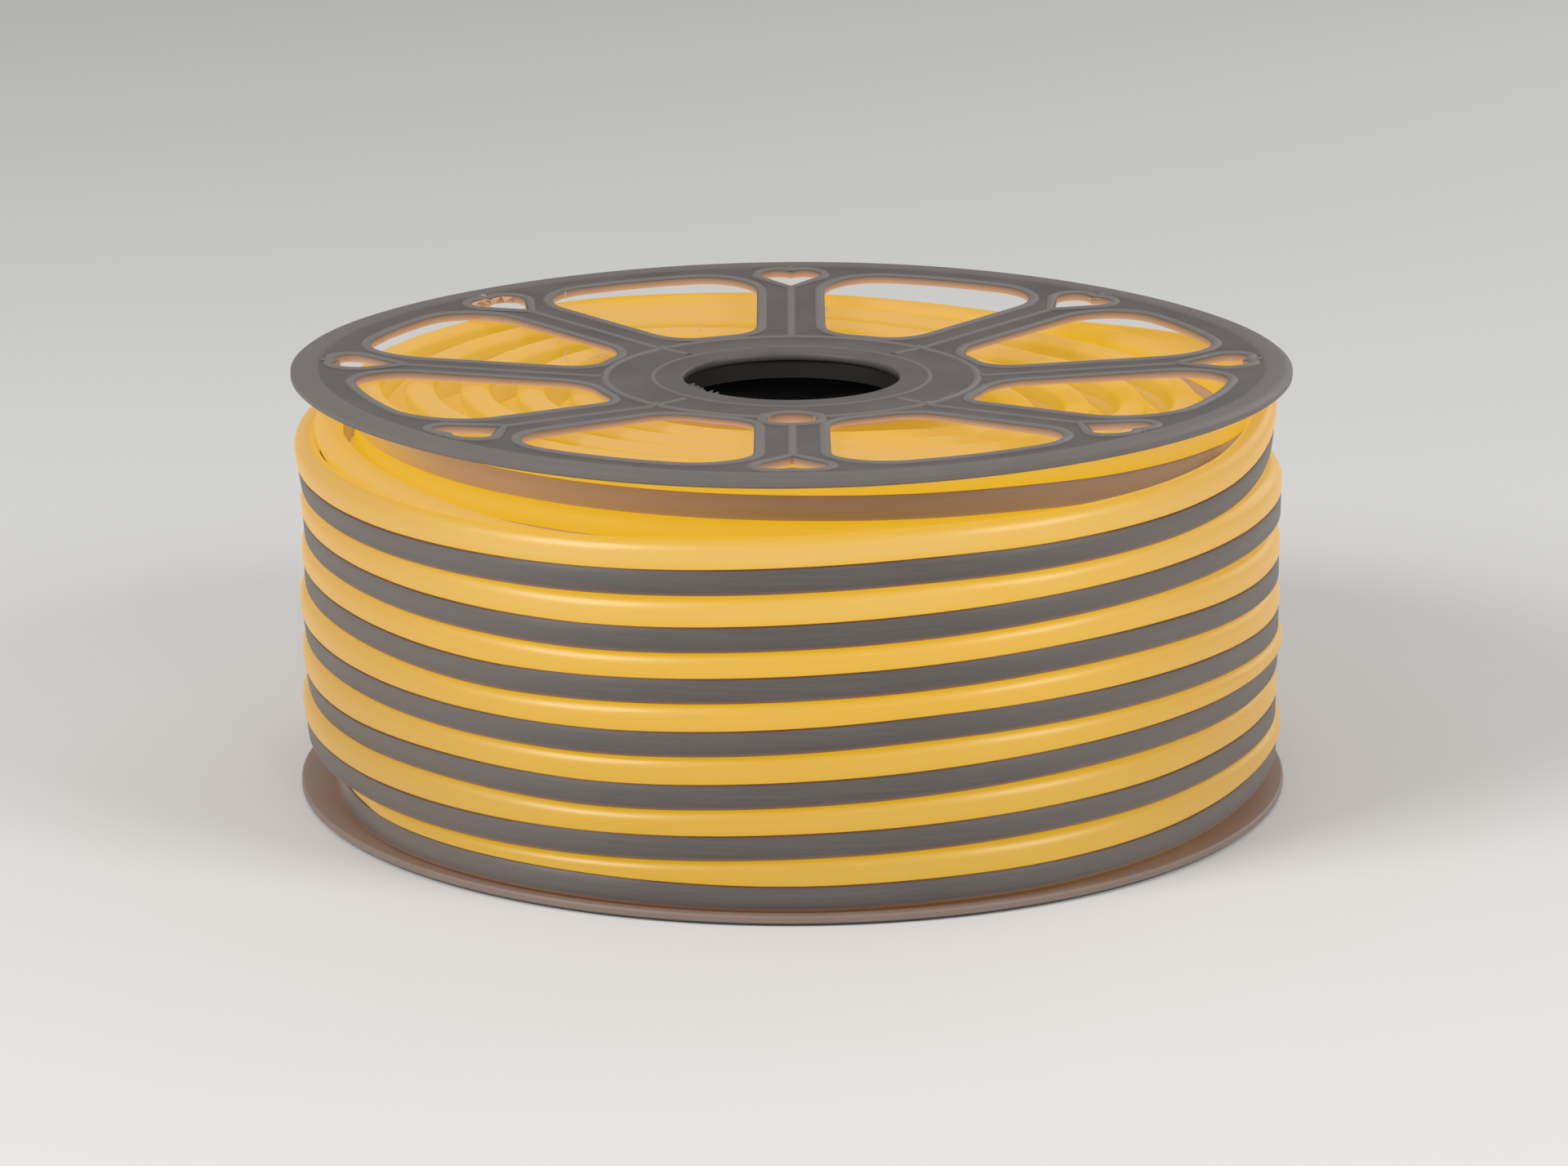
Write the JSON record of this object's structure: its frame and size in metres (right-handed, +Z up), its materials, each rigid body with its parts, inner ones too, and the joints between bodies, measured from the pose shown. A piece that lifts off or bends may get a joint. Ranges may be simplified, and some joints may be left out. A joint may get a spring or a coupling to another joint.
{
  "type": "led neon flex reel",
  "caption": "Warm yellow LED neon flex wound in layers on a grey moulded plastic reel with dished, spoked flanges and an open bore, lying on one flange.",
  "frame": {"origin": "on the reel's axis, on the plane that the reel lies on", "axes": "+Z up along the reel's axis; -Y towards the front spoke, the one with the threading hole; +X to the right seen from the front"},
  "size_m": [0.313, 0.313, 0.136],
  "materials": {
    "reel_plastic": "moulded, matte with a soft satin sheen",
    "flex_diffuser": "translucent soft diffuser, lit warm yellow, satin",
    "flex_base": "opaque soft base, satin grey"
  },
  "bodies": {
    "root": {"flange_top": "reel_plastic", "flange_bottom": "reel_plastic", "hub_drum": "reel_plastic", "neon_flex_coil": "flex_diffuser"}
  },
  "joints": []
}
